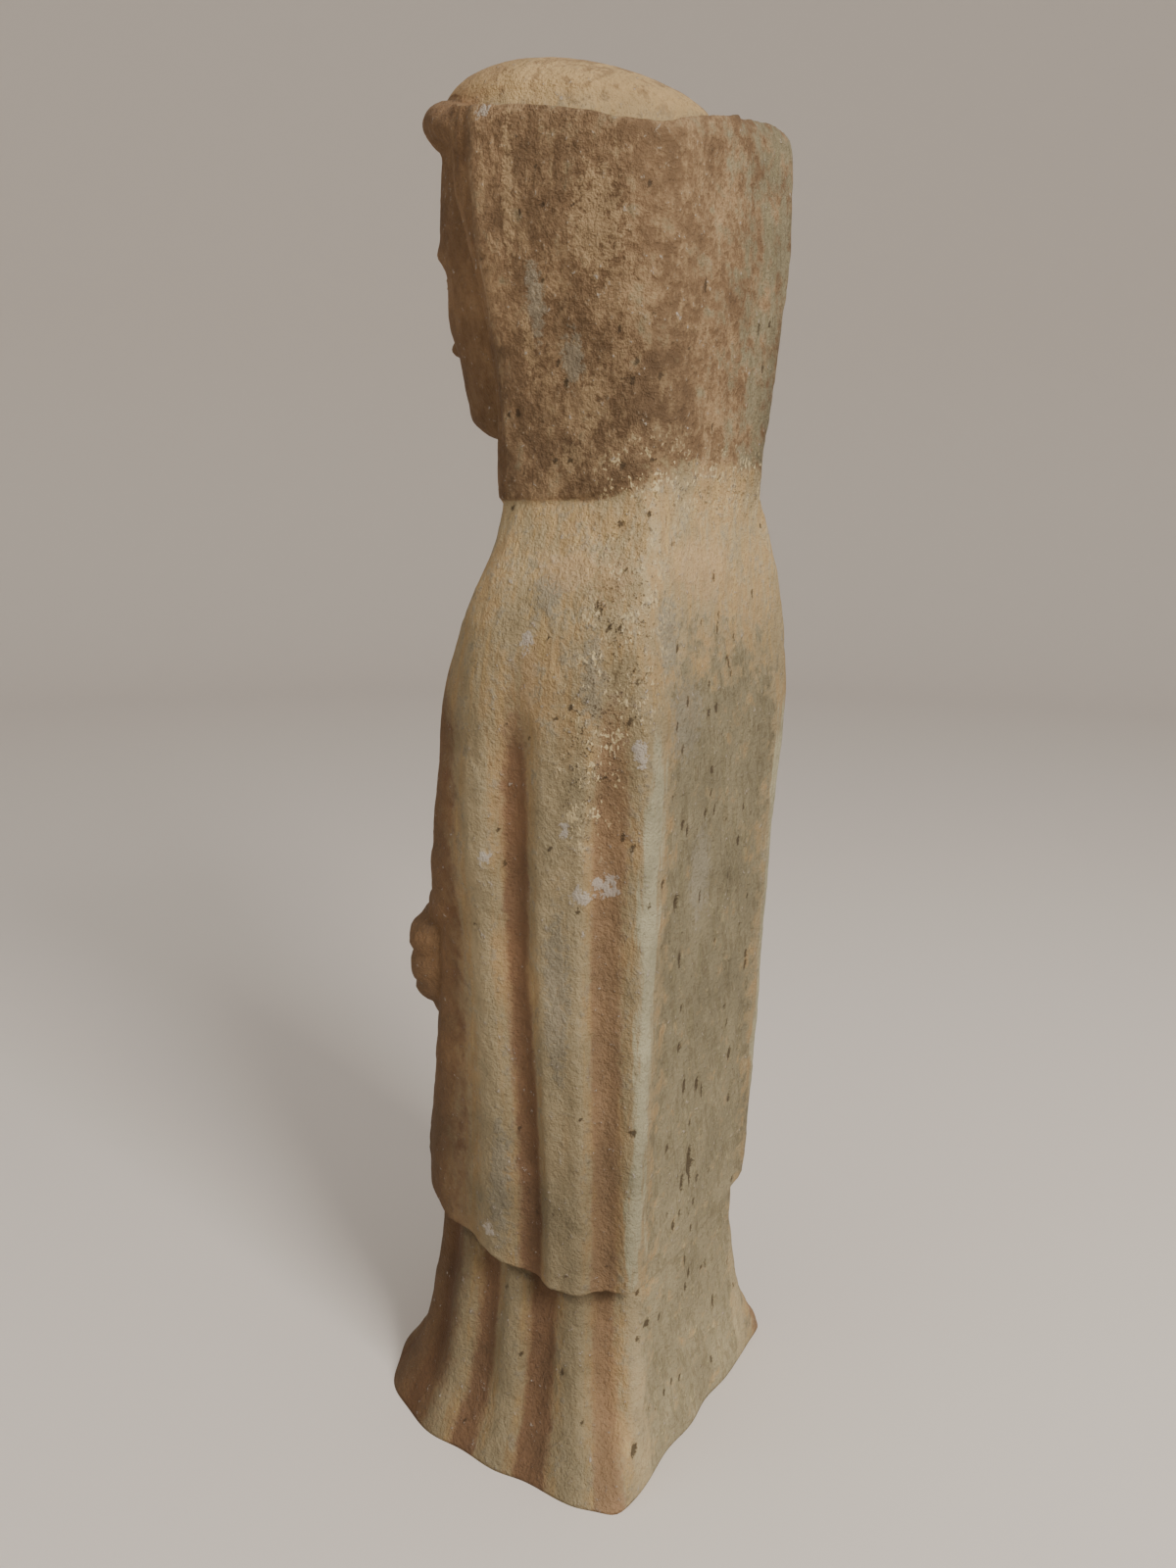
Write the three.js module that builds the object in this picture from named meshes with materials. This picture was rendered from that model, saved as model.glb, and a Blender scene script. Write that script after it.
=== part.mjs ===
// A standing saint carved from one block of soft stone.
// Millimetres, +Z up. The figure faces -Y, its left side is +X and it stands on z = 0.
//
// The block is one closed surface around an upright centre line. Each level is a rounded
// section with a flat back, and the carving is added to it along the radius. Angles are in
// degrees around the centre line: 0 is the front, 90 the figure's left, 180 the back.

import * as THREE from "three";

// Driving dimensions
const SKULL_TOP = 527.4;
const CHIN = 400;
const NAPE = 375;
const BAND_TOP = 501;
const BAND_HEIGHT = 15;
const BAND_PROUD = 3.2;
const HAIR_PROUD = 1.6;
const CLOTH_EDGE = 5;
const NECKLINE = 352;
const FACE_HEIGHT = BAND_TOP - BAND_HEIGHT - CHIN;
const STONE = { color: 0x9c8767, roughness: 0.93, metalness: 0 };

// Centre line: height, then x and y
const CENTRE_LINE = [
  { z: 0, x: -2, y: 5 },
  { z: 80, x: -3, y: 6 },
  { z: 160, x: -5, y: 8 },
  { z: 250, x: -8, y: 8.5 },
  { z: 300, x: -8, y: 10 },
  { z: 345, x: -6, y: 14 },
  { z: 380, x: -3, y: 18 },
  { z: 410, x: -3, y: 17.5 },
  { z: 460, x: -3, y: 15 },
  { z: 530, x: -3, y: 14 },
];

// Sections: half width, reach to the front and to the flat back, half width of that flat
const TUNIC = [
  { z: 0, half: 72, front: 71.5, back: 64.5, flat: 67 },
  { z: 9, half: 68.5, front: 65, back: 64, flat: 63.5 },
  { z: 20, half: 63, front: 59, back: 62, flat: 57 },
  { z: 35, half: 59, front: 54, back: 60, flat: 47 },
  { z: 50, half: 57, front: 51, back: 59.5, flat: 41 },
  { z: 70, half: 54, front: 48, back: 59.5, flat: 36 },
  { z: 110, half: 52, front: 46, back: 60.5, flat: 36 },
];
const MANTLE = [
  { z: 75, half: 61, front: 49, back: 60.5, flat: 44 },
  { z: 105, half: 62, front: 53, back: 60.5, flat: 48 },
  { z: 140, half: 61.5, front: 50.5, back: 61, flat: 50.5 },
  { z: 200, half: 62.5, front: 46, back: 62, flat: 52 },
  { z: 250, half: 64.5, front: 46.5, back: 63, flat: 54 },
  { z: 300, half: 67, front: 39.5, back: 65, flat: 60 },
  { z: 325, half: 64.5, front: 32, back: 65.5, flat: 59.5 },
  { z: 345, half: 58.5, front: 23.5, back: 63.5, flat: 55 },
  { z: 360, half: 52, front: 17, back: 61.5, flat: 49 },
  { z: 380, half: 45, front: 15, back: 60, flat: 42 },
];
const HAIR = [
  { z: 360, half: 46, front: 13, back: 61, flat: 44 },
  { z: 388, half: 47, front: 13, back: 63, flat: 44.5 },
  { z: 405, half: 49, front: 13, back: 64.5, flat: 46.5 },
  { z: 420, half: 51, front: 13, back: 65.5, flat: 48.5 },
  { z: 440, half: 54.5, front: 15, back: 66.5, flat: 52 },
  { z: 460, half: 57, front: 20, back: 67, flat: 55 },
  { z: 480, half: 58, front: 26, back: 67, flat: 56.5 },
  { z: 510, half: 58, front: 28, back: 67, flat: 56.5 },
];
const BAND = { half: 53, front: 50, back: 40, flat: 30 };
const FACE = [
  { z: CHIN - 14, half: 25, front: 19 },
  { z: CHIN - 5, half: 25, front: 23 },
  { z: CHIN + 1, half: 26, front: 38 },
  { z: CHIN + 8, half: 30, front: 43 },
  { z: CHIN + 20, half: 35, front: 45 },
  { z: CHIN + 40, half: 39.5, front: 48.5 },
  { z: CHIN + 62, half: 43, front: 52.5 },
  { z: CHIN + 75, half: 44, front: 52.5 },
  { z: CHIN + 95, half: 44, front: 51 },
];

// Fold crests and troughs around the figure: angle high on the cloth, angle at its hem, height
const MANTLE_FOLDS = [
  { high: -180, low: -180, height: 0 },
  { high: -147, low: -146, height: 0 },
  { high: -138, low: -138, height: 1.2 },
  { high: -124, low: -127, height: -2.4 },
  { high: -110, low: -114, height: 1.8 },
  { high: -99, low: -98, height: -2.2 },
  { high: -80, low: -84, height: 1.8 },
  { high: -66, low: -70, height: -1.6 },
  { high: -54, low: -56, height: 1.2 },
  { high: -44, low: -45, height: -0.6 },
  { high: 42, low: 44, height: 0 },
  { high: 53, low: 56, height: 0.6 },
  { high: 65, low: 70, height: -1.4 },
  { high: 82, low: 89, height: 2.2 },
  { high: 93, low: 104, height: -3.2 },
  { high: 105, low: 111, height: 1.9 },
  { high: 111, low: 115, height: 1.5 },
  { high: 116, low: 119, height: 2 },
  { high: 123.5, low: 128.5, height: -3.2 },
  { high: 136, low: 137, height: 1.8 },
  { high: 148, low: 147, height: 0 },
  { high: 180, low: 180, height: 0 },
];
const TUNIC_FOLDS = [
  { high: -180, low: -180, height: 0 },
  { high: -150, low: -153, height: 0 },
  { high: -140, low: -144, height: 1.4 },
  { high: -128, low: -130, height: -2.4 },
  { high: -117, low: -119, height: 1.8 },
  { high: -106, low: -107, height: -2.6 },
  { high: -95, low: -96, height: 1.9 },
  { high: -83, low: -84, height: -2.2 },
  { high: -72, low: -73, height: 1.8 },
  { high: -58, low: -60, height: -2.2 },
  { high: -46, low: -48, height: 2 },
  { high: -34, low: -36, height: -2.2 },
  { high: -24, low: -25, height: 2.2 },
  { high: -14, low: -13, height: -2.4 },
  { high: -3, low: -2, height: 2.4 },
  { high: 8, low: 9, height: -2.4 },
  { high: 18, low: 21, height: 2.2 },
  { high: 29, low: 33, height: -2.2 },
  { high: 41, low: 44, height: 2 },
  { high: 53, low: 55, height: -2 },
  { high: 65, low: 68, height: 1.8 },
  { high: 78, low: 80, height: -2.4 },
  { high: 92, low: 94, height: 1.9 },
  { high: 105, low: 106, height: -3 },
  { high: 120, low: 120.5, height: 2 },
  { high: 129, low: 129.5, height: -2.2 },
  { high: 139, low: 141, height: 1.4 },
  { high: 150, low: 154, height: 0 },
  { high: 180, low: 180, height: 0 },
];

// Lower edge of the mantle, stepping up to the hand in front
const MANTLE_HEM = [
  { angle: -180, z: 79 },
  { angle: -140, z: 86 },
  { angle: -110, z: 82 },
  { angle: -80, z: 84 },
  { angle: -55, z: 90 },
  { angle: -34, z: 88 },
  { angle: 0, z: 92 },
  { angle: 34, z: 112 },
  { angle: 45, z: 104 },
  { angle: 50, z: 97 },
  { angle: 58, z: 95 },
  { angle: 63, z: 90 },
  { angle: 77, z: 90 },
  { angle: 90, z: 85 },
  { angle: 101, z: 81 },
  { angle: 128, z: 79 },
  { angle: 140, z: 82 },
  { angle: 180, z: 79 },
];

// Front edges of the mantle, as angles at a height
const MANTLE_OPENING = [
  { z: 60, right: -36, left: 38 },
  { z: 110, right: -34, left: 36 },
  { z: 160, right: -33, left: 31 },
  { z: 205, right: -33, left: 26 },
  { z: 250, right: -34, left: 27 },
  { z: 300, right: -33, left: 31 },
  { z: 340, right: -27, left: 27 },
  { z: 362, right: -16, left: 16 },
  { z: 378, right: -4, left: 4 },
];

// Upper edge of the head block and its band, which slants down towards the near back corner
const RIM = [
  { angle: -180, z: 501 },
  { angle: -162, z: 504 },
  { angle: -140, z: 506.5 },
  { angle: -120, z: 507 },
  { angle: -90, z: 509 },
  { angle: -60, z: 512 },
  { angle: -37, z: 513.5 },
  { angle: 0, z: 514.5 },
  { angle: 37, z: 512.5 },
  { angle: 50, z: 507.5 },
  { angle: 62, z: 503 },
  { angle: 75, z: 499.7 },
  { angle: 94, z: 497.4 },
  { angle: 107, z: 494.2 },
  { angle: 120, z: 490.3 },
  { angle: 133, z: 488.2 },
  { angle: 140, z: 489.8 },
  { angle: 153, z: 494.3 },
  { angle: 168, z: 498.2 },
  { angle: 180, z: 501 },
];

const radians = THREE.MathUtils.degToRad;
const clamp = THREE.MathUtils.clamp;
const rise = (from, to, value) => {
  const t = clamp((value - from) / (to - from), 0, 1);
  return t * t * (3 - 2 * t);
};
const hump = (value, centre, width) => Math.exp(-(((value - centre) / width) ** 2));
const softMax = (a, b, soft) => {
  const t = clamp(0.5 + (a - b) / (2 * soft), 0, 1);
  return b + (a - b) * t + soft * t * (1 - t);
};

// A smooth curve through the stations, without overshoot at the ends
function along(stations, z, key) {
  const last = stations.length - 1;
  if (z <= stations[0].z) return stations[0][key];
  if (z >= stations[last].z) return stations[last][key];
  let i = 0;
  while (z > stations[i + 1].z) i += 1;
  const slope = (a, b) => (stations[b][key] - stations[a][key]) / (stations[b].z - stations[a].z);
  const from = slope(Math.max(i - 1, 0), i + 1);
  const to = slope(i, Math.min(i + 2, last));
  const length = stations[i + 1].z - stations[i].z;
  const t = (z - stations[i].z) / length;
  return (
    (2 * t ** 3 - 3 * t ** 2 + 1) * stations[i][key] +
    (t ** 3 - 2 * t ** 2 + t) * length * from +
    (3 * t ** 2 - 2 * t ** 3) * stations[i + 1][key] +
    (t ** 3 - t ** 2) * length * to
  );
}

// Straight lines between points of a list
function between(points, at, where, key) {
  let i = 0;
  while (i < points.length - 2 && at > points[i + 1][where]) i += 1;
  const t = clamp((at - points[i][where]) / (points[i + 1][where] - points[i][where]), 0, 1);
  return points[i][key] + (points[i + 1][key] - points[i][key]) * t;
}

const sizeAt = (stations, z) => ({
  half: along(stations, z, "half"),
  front: along(stations, z, "front"),
  back: along(stations, z, "back"),
  flat: along(stations, z, "flat"),
});

const centreAt = (z) => ({ x: along(CENTRE_LINE, z, "x"), y: along(CENTRE_LINE, z, "y") });

// Distance from the centre line to a section: an oval cut by the flat back
const OVAL_POWER = 2.8;
const CORNER_POWER = 30;
const HEAD_CORNER_POWER = 5;
const FAR_CORNER_POWER = 10;
function sectionRadius(size, angle, centreY, frontPower = OVAL_POWER, corner = CORNER_POWER) {
  const side = Math.abs(Math.sin(radians(angle)));
  const ahead = Math.cos(radians(angle));
  const oval = (across, deep, power) =>
    ((side / across) ** power + (Math.abs(ahead) / deep) ** power) ** (-1 / power);
  if (ahead >= 0) return oval(size.half, size.front + centreY, frontPower);
  const depth = size.back - centreY;
  const cut = Math.min(size.flat / size.half, 0.985) ** OVAL_POWER;
  const round = oval(size.half, depth / (1 - cut) ** (1 / OVAL_POWER), OVAL_POWER);
  const plane = depth / Math.max(-ahead, 1e-3);
  return (round ** -corner + plane ** -corner) ** (-1 / corner);
}

// Height of the folds at an angle: rounded crests and troughs, from the high to the low set
function foldHeight(folds, angle, drop) {
  const place = (fold) => fold.high + (fold.low - fold.high) * drop;
  let i = 0;
  while (i < folds.length - 2 && angle > place(folds[i + 1])) i += 1;
  const from = place(folds[i]);
  const to = place(folds[i + 1]);
  const t = clamp((angle - from) / (to - from), 0, 1);
  const wave = 0.5 - 0.5 * Math.cos(Math.PI * t);
  return folds[i].height + (folds[i + 1].height - folds[i].height) * wave;
}

// A raised limb between two points of the surface, each with its half width and height.
// Points are given as distance around the figure from the front, and height on it.
function limb(around, z, a, b) {
  const du = b.u - a.u;
  const dz = b.z - a.z;
  const t = clamp(((around - a.u) * du + (z - a.z) * dz) / (du * du + dz * dz), 0, 1);
  const wide = a.wide + (b.wide - a.wide) * t;
  const off = Math.hypot(around - a.u - du * t, z - a.z - dz * t) / wide;
  const high = a.high + (b.high - a.high) * t;
  return off < 1 ? high * Math.sqrt(1 - off * off) : 0;
}

// The face, calm and regular, on plain proportions
const EYE = { x: 15, z: CHIN + FACE_HEIGHT * 0.64, wide: 7.5, high: 3.6 };
const BROW = { z: CHIN + FACE_HEIGHT * 0.755, proud: 1.8 };
const NOSE = { top: CHIN + FACE_HEIGHT * 0.73, tip: CHIN + FACE_HEIGHT * 0.385, long: 9.5, wide: 7.5 };
const MOUTH = { z: CHIN + FACE_HEIGHT * 0.235, wide: 12 };
function faceRelief(x, z) {
  const side = Math.abs(x);
  let h = 0;
  h -= 3.4 * hump(side, EYE.x, 9.5) * hump(z, EYE.z + 0.5, 6.5);
  h += BROW.proud * hump(z, BROW.z - 0.012 * (side - 14) ** 2, 3.6) * (1 - rise(24, 34, side));
  const eye = 1 - ((side - EYE.x) / EYE.wide) ** 2 - ((z - EYE.z) / EYE.high) ** 2;
  if (eye > 0) h += 3.1 * Math.sqrt(eye);
  h -= 0.7 * hump(z, EYE.z - 0.2, 0.9) * (1 - rise(EYE.wide - 2, EYE.wide, Math.abs(side - EYE.x)));
  const down = clamp((NOSE.top - z) / (NOSE.top - NOSE.tip), 0, 1);
  const tipEnd = rise(NOSE.tip - 6, NOSE.tip - 0.5, z);
  const bridge = 2.6 + (NOSE.wide - 2.6) * down ** 2;
  const ridge = (1.2 + (NOSE.long - 1.2) * down ** 1.15) * (1 - rise(NOSE.top, NOSE.top + 8, z));
  h += ridge * tipEnd * Math.exp(-((side / bridge) ** 2.4));
  h += 2.2 * hump(side, 6.2, 2.6) * hump(z, NOSE.tip + 1.5, 3.6);
  h += 2.2 * hump(z, MOUTH.z, 7) * hump(side, 0, 13);
  h += 1.5 * hump(z, MOUTH.z + 2.6, 1.8) * (1 - rise(MOUTH.wide * 0.5, MOUTH.wide, side));
  h += 1.7 * hump(z, MOUTH.z - 2.9, 2.1) * (1 - rise(MOUTH.wide * 0.4, MOUTH.wide * 0.85, side));
  h -= 1.9 * hump(z, MOUTH.z, 1.1) * (1 - rise(MOUTH.wide * 0.8, MOUTH.wide * 1.15, side));
  h -= 1.3 * hump(z, MOUTH.z - 7.5, 2.6) * hump(side, 0, 9);
  h += 2.8 * hump(z, CHIN + 7.5, 6) * hump(side, 0, 11);
  h += 1.4 * hump(side, 22, 9) * hump(z, NOSE.tip + 6, 11);
  return h;
}

// Locks of the long hair beside the face, grooved straight down and set a little below the rest
const LOCK_WIDTH = 12;
const LOCK_DEPTH = 0.9;
const LOCK_EDGE = 72;
const LOCK_SINK = 1.1;
function hairRelief(angle, z) {
  const side = Math.abs(angle);
  const edge = LOCK_EDGE - 3 * rise(460, 400, z);
  const beside = (1 - rise(edge - 3, edge + 1, side)) * rise(NAPE + 6, NAPE + 30, z);
  return -beside * (LOCK_SINK + LOCK_DEPTH * Math.abs(Math.cos((Math.PI * (side - edge)) / LOCK_WIDTH)) ** 3);
}

const rimHeight = (angle) => between(RIM, angle, "angle", "z");

// Right forearm across the breast with its sleeve, and the flat hand
const RIGHT_ARM = [
  [{ u: -72, z: 262, wide: 17, high: 3 }, { u: -58, z: 244, wide: 15, high: 8 }],
  [{ u: -58, z: 244, wide: 14, high: 9 }, { u: -22, z: 266, wide: 11.5, high: 11.5 }],
  [{ u: -30, z: 258, wide: 9, high: 9 }, { u: -27, z: 236, wide: 4, high: 3 }],
];
const RIGHT_HAND = [
  [{ u: -22, z: 266, wide: 7.5, high: 11 }, { u: -7, z: 277, wide: 8.5, high: 8.5 }],
  [{ u: -7, z: 279, wide: 8.5, high: 8 }, { u: 0, z: 284, wide: 8, high: 7 }],
  [{ u: -6, z: 284, wide: 3.2, high: 8 }, { u: -3, z: 297, wide: 2.6, high: 6.5 }],
];
const FINGER_SPREAD = 4.7;
for (let i = 0; i < 4; i += 1) {
  const across = (i - 1.5) * FINGER_SPREAD;
  const long = [15, 19, 18, 13][i];
  const from = { u: 2 + across * -0.45, z: 284 + across * 0.75, wide: 2.9, high: 7 };
  const to = { u: from.u + long * 0.86, z: from.z + long * 0.5, wide: 2.2, high: 5 };
  RIGHT_HAND.push([from, to]);
}

// Left forearm under the mantle, and the closed hand that gathers the cloth
const LEFT_ARM = [
  [{ u: 62, z: 268, wide: 17, high: 1.5 }, { u: 60, z: 250, wide: 17, high: 2.5 }],
  [{ u: 60, z: 250, wide: 15, high: 1.8 }, { u: 40, z: 222, wide: 12, high: 2.5 }],
];
const HAND = { u: 31, low: 171, high: 226, proud: 15, fingers: 4, groove: 1.5 };
const LEFT_HAND = [
  [{ u: HAND.u + 3, z: 218, wide: 11, high: 6 }, { u: HAND.u + 1, z: 203, wide: 15, high: HAND.proud }],
  [{ u: HAND.u + 1, z: 203, wide: 15, high: HAND.proud }, { u: HAND.u, z: 189, wide: 15, high: HAND.proud - 1 }],
  [{ u: HAND.u, z: 189, wide: 14, high: HAND.proud - 2 }, { u: HAND.u, z: 178, wide: 9, high: 5 }],
];

function raised(limbs, around, z) {
  let most = 0;
  for (const [a, b] of limbs) {
    const high = limb(around, z, a, b);
    if (high > 0) most = most > 0 ? softMax(most, high, 0.8) : high;
  }
  return most;
}

// The closed hand, with grooves between its four fingers
function fistHeight(around, z) {
  const share = clamp((HAND.high - z) / (HAND.high - HAND.low), 0, 1);
  const groove = Math.abs(Math.cos(Math.PI * share * HAND.fingers)) ** 6;
  const mass = raised(LEFT_HAND, around, z);
  return mass - HAND.groove * groove * rise(1, 6, mass) * rise(HAND.u - 12, HAND.u - 4, around);
}

// Cloth falling from the closed hand in stacked zigzag edges, wider towards the hem
const FALL = { narrow: 29, wide: 13, left: 30, steps: 3, proud: 1.6, foot: 96 };
function fallingCloth(angle, z) {
  const share = clamp((z - FALL.foot) / (HAND.low - FALL.foot), 0, 1);
  const saw = (share * FALL.steps) % 1;
  const edge = FALL.wide + (FALL.narrow - FALL.wide) * share + 5 * saw;
  const inside = rise(edge - 1.5, edge + 1.5, angle) * (1 - rise(FALL.left, FALL.left + 9, angle));
  const pinch = 1 - rise(HAND.low - 4, HAND.low + 20, z);
  const ripple = 1.1 * Math.cos((2 * Math.PI * (angle - edge)) / 9);
  return (FALL.proud - 1.8 * saw + ripple) * inside * pinch * rise(FALL.foot - 1.5, FALL.foot + 1.5, z);
}

// Radius of the carved figure below the neck
function clothRadius(angle, z, centre) {
  const hem = between(MANTLE_HEM, angle, "angle", "z");
  const drop = 1 - rise(80, 230, z);
  const open = {
    right: between(MANTLE_OPENING, z, "z", "right"),
    left: between(MANTLE_OPENING, z, "z", "left"),
  };
  const mantleBase = sectionRadius(sizeAt(MANTLE, z), angle, centre.y);
  const tunicBase = sectionRadius(sizeAt(TUNIC, z), angle, centre.y);
  const inside = rise(open.right - 1.5, open.right + 1.5, angle)
    * (1 - rise(open.left - 1.5, open.left + 1.5, angle));
  const tunicFolds = foldHeight(TUNIC_FOLDS, angle, 1 - rise(0, 90, z)) * (0.35 + 0.65 * rise(0, 34, z));
  const chest = rise(236, 262, z);
  const girdle = hump(z, 250, 3.4) * 2.4;
  const under = mantleBase - CLOTH_EDGE * 1.1;
  const collar = 1.3 * hump(z, NECKLINE + 0.016 * (angle * 0.8) ** 2, 2);
  const inner = under + (tunicBase - under) * (1 - rise(84, 130, z))
    + tunicFolds * (1 - 0.75 * chest) + (girdle + collar) * inside;
  const fade = 1 - rise(262, 345, z);
  const outer = mantleBase + foldHeight(MANTLE_FOLDS, angle, drop) * fade
    + 0.9 * (hump(angle, open.left + 3, 2.4) + hump(angle, open.right - 3, 2.4)) * (1 - inside);
  const onMantle = rise(hem - 1.2, hem + 1.2, z) * (1 - inside);
  const around = radians(angle) * 50;
  let r = inner + (outer - inner) * onMantle;
  r += fallingCloth(angle, z) + raised(LEFT_ARM, around, z);
  const fist = fistHeight(around, z);
  if (fist > 0) r = softMax(r, mantleBase - 1 + fist, 0.6);
  return r + Math.max(raised(RIGHT_ARM, around, z), raised(RIGHT_HAND, around, z));
}

// Radius of the head: long hair cut straight, with the face between it under a rolled band
function headRadius(angle, z, centre, rim) {
  const side = Math.abs(angle);
  const far = angle < 0 ? rise(110, 160, side) : 0;
  const corner = HEAD_CORNER_POWER + (FAR_CORNER_POWER - HEAD_CORNER_POWER) * far;
  const proud = HAIR_PROUD * rise(62, 90, side) * (1 - rise(128, 145, side));
  const hair = sectionRadius(sizeAt(HAIR, z), angle, centre.y, 4, corner)
    + hairRelief(angle, z) + proud * (1 - rise(NAPE + 4, NAPE + 26, z));
  const ahead = Math.cos(radians(angle));
  let r = hair;
  if (ahead > 0) {
    const size = { half: along(FACE, z, "half"), front: along(FACE, z, "front") };
    const bare = sectionRadius(size, angle, centre.y, 2.3);
    const x = bare * Math.sin(radians(angle));
    r = softMax(hair, bare + faceRelief(x, z) * rise(CHIN - 6, CHIN + 4, z), 0.8);
    const roll = 1 - ((z - (rim - BAND_HEIGHT / 2)) / (BAND_HEIGHT / 2)) ** 2;
    const band = sectionRadius(BAND, angle, centre.y, 2.4);
    const round = roll > 0 ? Math.sqrt(roll) : 0;
    const fade = 1 - rise(66, 100, Math.abs(angle));
    if (roll > -1) r = softMax(r, band - 9 * (1 - round) + BAND_PROUD * fade - 12 * (1 - fade), 0.6);
  }
  return r;
}

// Worn underside edge at the back: shallow scallops near the ground
function footWear(angle, z) {
  const back = rise(118, 132, Math.abs(angle));
  return back * (1 - rise(2, 14, z)) * 0.8 * Math.sin(radians(angle) * 11);
}

// Radius of the whole figure at an angle and height
function radius(angle, z, rim) {
  const centre = centreAt(z);
  const side = Math.abs(angle);
  const nape = NAPE + 2 * hump(side, 125, 20) - 3 * rise(140, 165, side);
  const soft = 0.8 + 9 * rise(122, 145, side);
  const cloth = z < NAPE + 18 ? clothRadius(angle, z, centre) : 0;
  const head = z > NAPE - 30 ? headRadius(angle, z, centre, rim) : 0;
  const up = rise(nape - soft, nape + soft, z) * rise(38, 46, side);
  const throat = softMax(cloth, head, 1.5);
  const body = side < 46 && z > NAPE - 30 ? throat : cloth;
  const sides = body + (head - body) * up;
  const r = z > NAPE + 14 ? head : sides;
  return r + footWear(angle, z);
}

// Skull inside the rim, a low oval dome that peaks towards the front
const DOME = { x: -6, y: -2, half: 45.6, deep: 51, high: 21.6, lean: 0.16 };
function topHeight(x, y, rim) {
  const across = (x - DOME.x) / DOME.half;
  const deep = (y - DOME.y) / DOME.deep;
  const inside = 1 - across * across - deep * deep;
  if (inside <= 0) return rim;
  const dome = SKULL_TOP - DOME.high + DOME.high * Math.sqrt(inside)
    - DOME.lean * (y - DOME.y) * inside ** 0.3;
  return softMax(rim, dome, 2.5);
}

// Distance from a point inside the dome's foot to that foot, in a direction
function domeReach(x, y, angle) {
  const dx = Math.sin(radians(angle)) / DOME.half;
  const dy = -Math.cos(radians(angle)) / DOME.deep;
  const px = (x - DOME.x) / DOME.half;
  const py = (y - DOME.y) / DOME.deep;
  const a = dx * dx + dy * dy;
  const b = px * dx + py * dy;
  const c = px * px + py * py - 1;
  return (-b + Math.sqrt(b * b - a * c)) / a;
}

// Grid lines: angles closer together on the front, heights closer where the carving is fine
const ranges = (list) => {
  const values = [];
  for (const [from, to, step] of list) {
    for (let v = from; v < to - 1e-6; v += step) values.push(v);
  }
  return values;
};
const ANGLES = ranges([
  [-180, -150, 15],
  [-150, -42, 6],
  [-42, -24, 4.5],
  [-24, 24, 3.2],
  [24, 42, 4.5],
  [42, 150, 6],
  [150, 180, 15],
]);
const HEIGHTS = ranges([
  [0, 6, 3],
  [6, 76, 17.5],
  [76, 92, 4],
  [92, 170, 15.6],
  [170, 228, 7.25],
  [228, 302, 8.3],
  [302, 368, 11],
  [368, 380, 3],
  [380, 394, 7],
  [394, 404, 2.5],
  [404, 412, 4],
  [412, 472, 3.75],
  [472, 486, 4.7],
  [486, 502, 4],
]);
HEIGHTS.push(502);
const RIM_RINGS = [0.5];
const DOME_RINGS = [0.98, 0.82, 0.55, 0.25];

// A grid height moved so that the rows follow the mantle's hem and the head's rim
function levelAt(angle, z, rim) {
  const hem = between(MANTLE_HEM, angle, "angle", "z");
  const nearHem = z < 84 ? rise(40, 84, z) : 1 - rise(84, 130, z);
  const toRim = rise(440, 502, z);
  return z + (hem - 84) * nearHem + (rim - 502) * toRim;
}

function statueGeometry() {
  const columns = ANGLES.length;
  const points = [];
  const put = (x, y, z) => points.push(x, y, z) / 3 - 1;
  const rimAt = ANGLES.map(rimHeight);
  for (const level of HEIGHTS) {
    ANGLES.forEach((angle, i) => {
      const z = levelAt(angle, level, rimAt[i]);
      const centre = centreAt(z);
      const worn = clamp((level - 494) / 8, 0, 1);
      const soft = 2.2 + 3 * rise(100, 150, -angle);
      const r = radius(angle, z, rimAt[i]) - soft * (1 - Math.sqrt(1 - 0.96 * worn ** 2));
      put(centre.x + r * Math.sin(radians(angle)), centre.y - r * Math.cos(radians(angle)), z);
    });
  }
  const lastRow = HEIGHTS.length - 1;
  const rimStart = lastRow * columns * 3;
  const crown = centreAt(502);
  const ring = (reachAt) => {
    for (let i = 0; i < columns; i += 1) {
      const reach = reachAt(i);
      const x = crown.x + reach * Math.sin(radians(ANGLES[i]));
      const y = crown.y - reach * Math.cos(radians(ANGLES[i]));
      put(x, y, topHeight(x, y, rimAt[i]));
    }
  };
  const rimReach = (i) => Math.hypot(points[rimStart + i * 3] - crown.x, points[rimStart + i * 3 + 1] - crown.y);
  const domeFoot = (i) => Math.min(domeReach(crown.x, crown.y, ANGLES[i]), rimReach(i) - 2);
  for (const share of RIM_RINGS) ring((i) => rimReach(i) + (domeFoot(i) - rimReach(i)) * share);
  for (const share of DOME_RINGS) ring((i) => domeFoot(i) * share);
  const top = put(crown.x, crown.y, topHeight(crown.x, crown.y, BAND_TOP));
  const foot = centreAt(0);
  const bottom = put(foot.x, foot.y, 0);

  const faces = [];
  const rows = HEIGHTS.length + RIM_RINGS.length + DOME_RINGS.length;
  for (let row = 0; row < rows - 1; row += 1) {
    for (let i = 0; i < columns; i += 1) {
      const a = row * columns + i;
      const b = row * columns + ((i + 1) % columns);
      faces.push(a, b, b + columns, a, b + columns, a + columns);
    }
  }
  const edge = (rows - 1) * columns;
  for (let i = 0; i < columns; i += 1) {
    const next = (i + 1) % columns;
    faces.push(edge + i, edge + next, top);
    faces.push(next, i, bottom);
  }
  const geometry = new THREE.BufferGeometry();
  geometry.setAttribute("position", new THREE.Float32BufferAttribute(points, 3));
  geometry.setIndex(faces);
  geometry.computeBoundingBox();
  const { min, max } = geometry.boundingBox;
  geometry.translate(-(min.x + max.x) / 2, -(min.y + max.y) / 2, -min.z);
  return geometry.toNonIndexed();
}

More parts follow.
